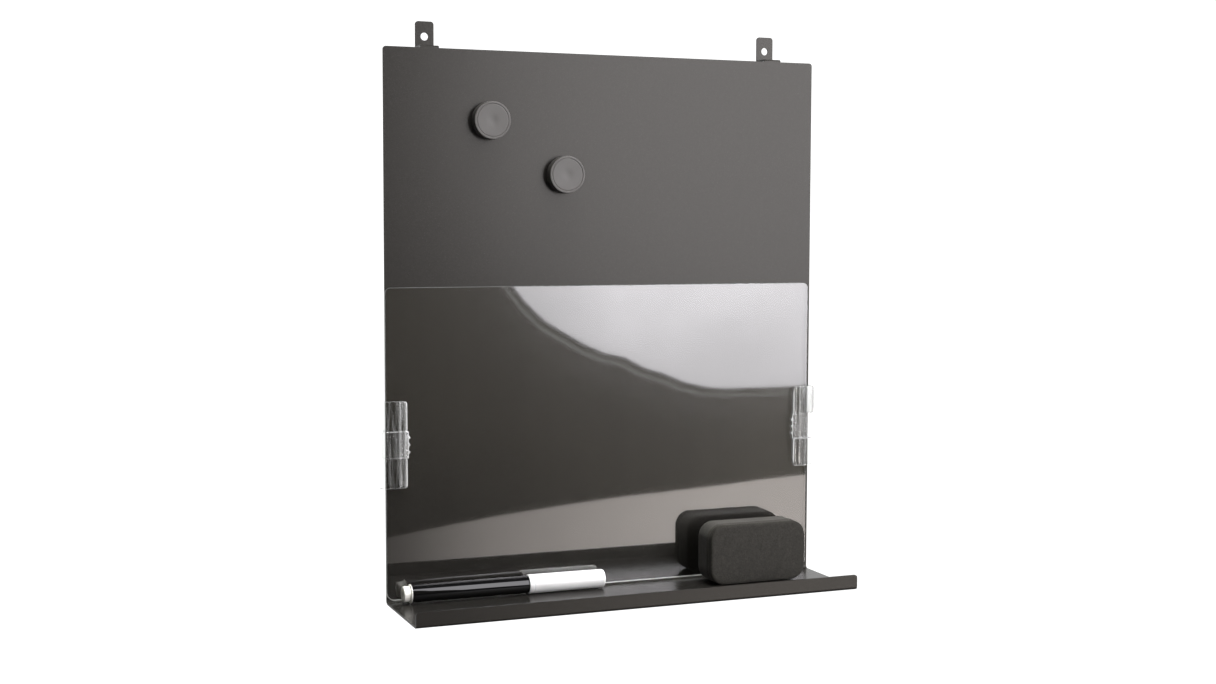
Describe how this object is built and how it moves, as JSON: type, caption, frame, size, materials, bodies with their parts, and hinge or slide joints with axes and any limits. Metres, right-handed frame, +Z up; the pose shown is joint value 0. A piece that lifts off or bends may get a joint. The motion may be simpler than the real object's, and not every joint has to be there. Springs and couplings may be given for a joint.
{
  "type": "magnetic board with tray",
  "caption": "Wall-hung folded steel board with a shallow tray, clear clip-on writing panel, round magnets, capped marker and eraser.",
  "frame": {"origin": "midway between the two hanger holes, on the wall plane that the tabs' rear faces touch", "axes": "+X to the right seen from the front, +Y into the wall, +Z up"},
  "size_m": [0.3068, 0.0832, 0.3675],
  "materials": {
    "board_coated_steel": "fine-grained matte powder coat, warm dark graphite",
    "bumper_rubber": "matte black",
    "panel_clear": "clear, polished",
    "clip_clear": "clear, moulded",
    "magnet_cap_matte": "satin dark grey",
    "magnet_disc_dark": "dull sintered magnet",
    "marker_white": "semi-gloss white",
    "marker_black": "glossy black",
    "ink_fibre": "ink-soaked fibre",
    "nib_fibre": "pressed fibre, inked",
    "eraser_foam": "dark grey dense foam",
    "eraser_felt": "dark grey pressed felt"
  },
  "bodies": {
    "wall_board": {"board": "board_coated_steel", "rear_bumper_left": "bumper_rubber", "rear_bumper_right": "bumper_rubber"},
    "panel": {"writing_panel": "panel_clear"},
    "clip_left": {"left_clip": "clip_clear"},
    "clip_right": {"right_clip": "clip_clear"},
    "magnet_upper": {"upper_magnet_cap": "magnet_cap_matte", "upper_magnet_disc": "magnet_disc_dark"},
    "magnet_lower": {"lower_magnet_cap": "magnet_cap_matte", "lower_magnet_disc": "magnet_disc_dark"},
    "marker": {"marker_end_plug": "marker_white", "marker_barrel": "marker_black", "marker_ink_reservoir": "ink_fibre", "marker_nib_holder": "marker_black", "marker_nib": "nib_fibre"},
    "cap_of_marker": {"marker_cap": "marker_white"},
    "eraser": {"eraser_foam_block": "eraser_foam", "eraser_felt_pad": "eraser_felt"}
  },
  "joints": [
    {"name": "panel_slide", "type": "slide", "parent": "wall_board", "child": "panel", "axis": [0, 0, 1], "range_m": [0, 0.05]},
    {"name": "left_clip_pull", "type": "slide", "parent": "wall_board", "child": "clip_left", "axis": [-1, 0, 0], "range_m": [0, 0.02]},
    {"name": "right_clip_pull", "type": "slide", "parent": "wall_board", "child": "clip_right", "axis": [1, 0, 0], "range_m": [0, 0.02]},
    {"name": "upper_magnet_pull", "type": "slide", "parent": "wall_board", "child": "magnet_upper", "axis": [0, -1, 0], "range_m": [0, 0.03]},
    {"name": "lower_magnet_pull", "type": "slide", "parent": "wall_board", "child": "magnet_lower", "axis": [0, -1, 0], "range_m": [0, 0.03]},
    {"name": "marker_lift", "type": "slide", "parent": "wall_board", "child": "marker", "axis": [0, 0, 1], "range_m": [0, 0.05]},
    {"name": "marker_cap_pull", "type": "slide", "parent": "marker", "child": "cap_of_marker", "axis": [1, 0, 0], "range_m": [0, 0.04]},
    {"name": "eraser_lift", "type": "slide", "parent": "wall_board", "child": "eraser", "axis": [0, 0, 1], "range_m": [0, 0.06]}
  ]
}
